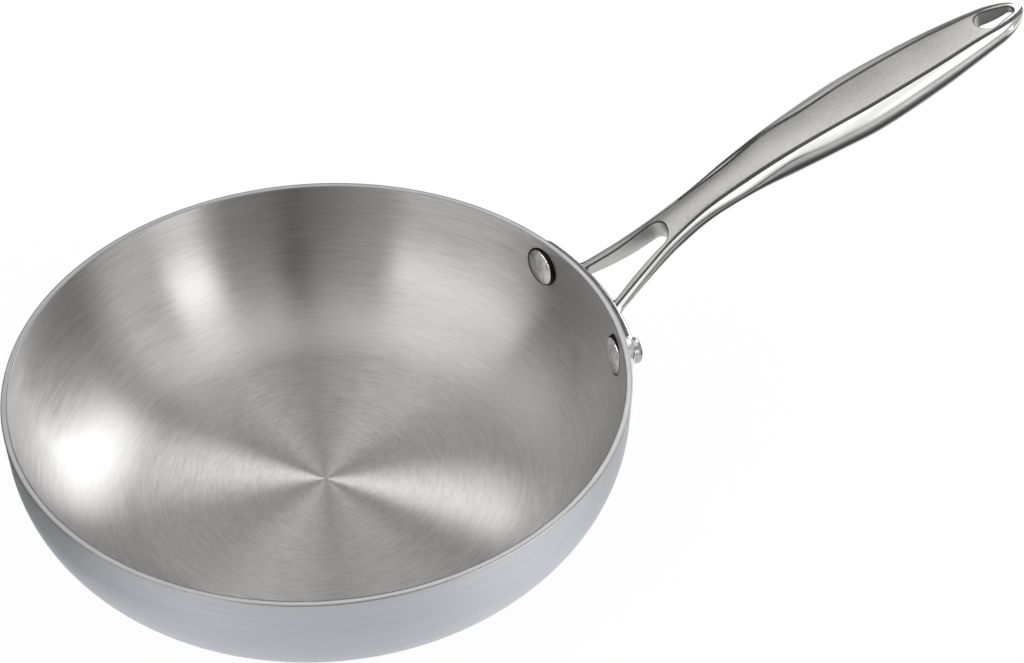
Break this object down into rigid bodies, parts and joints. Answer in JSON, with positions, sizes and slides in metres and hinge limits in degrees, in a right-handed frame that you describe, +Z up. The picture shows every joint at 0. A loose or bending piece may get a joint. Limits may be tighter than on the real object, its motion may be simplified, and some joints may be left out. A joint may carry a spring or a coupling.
{
  "type": "omelette pan",
  "caption": "Shallow round clad-steel frying pan with rounded sides and a long raised fork handle riveted to its wall.",
  "frame": {"origin": "centre of the flat outer base, on the surface that the pan rests on", "axes": "+Z up through the bowl's axis, +X along the handle away from the bowl, +Y to the left of the handle seen from the bowl"},
  "size_m": [0.3639, 0.2, 0.1092],
  "materials": {
    "liner": "satin, finely brushed in circles round the middle",
    "core": "bare edge, showing only at the rim",
    "outer_skin": "brushed in circles round the middle",
    "handle": "cast, satin top face and polished sides",
    "rivets": "polished"
  },
  "bodies": {
    "root": {"liner": "liner", "core": "core", "outer_skin": "outer_skin", "handle": "handle", "rivet_left": "rivets", "rivet_right": "rivets"}
  },
  "joints": []
}
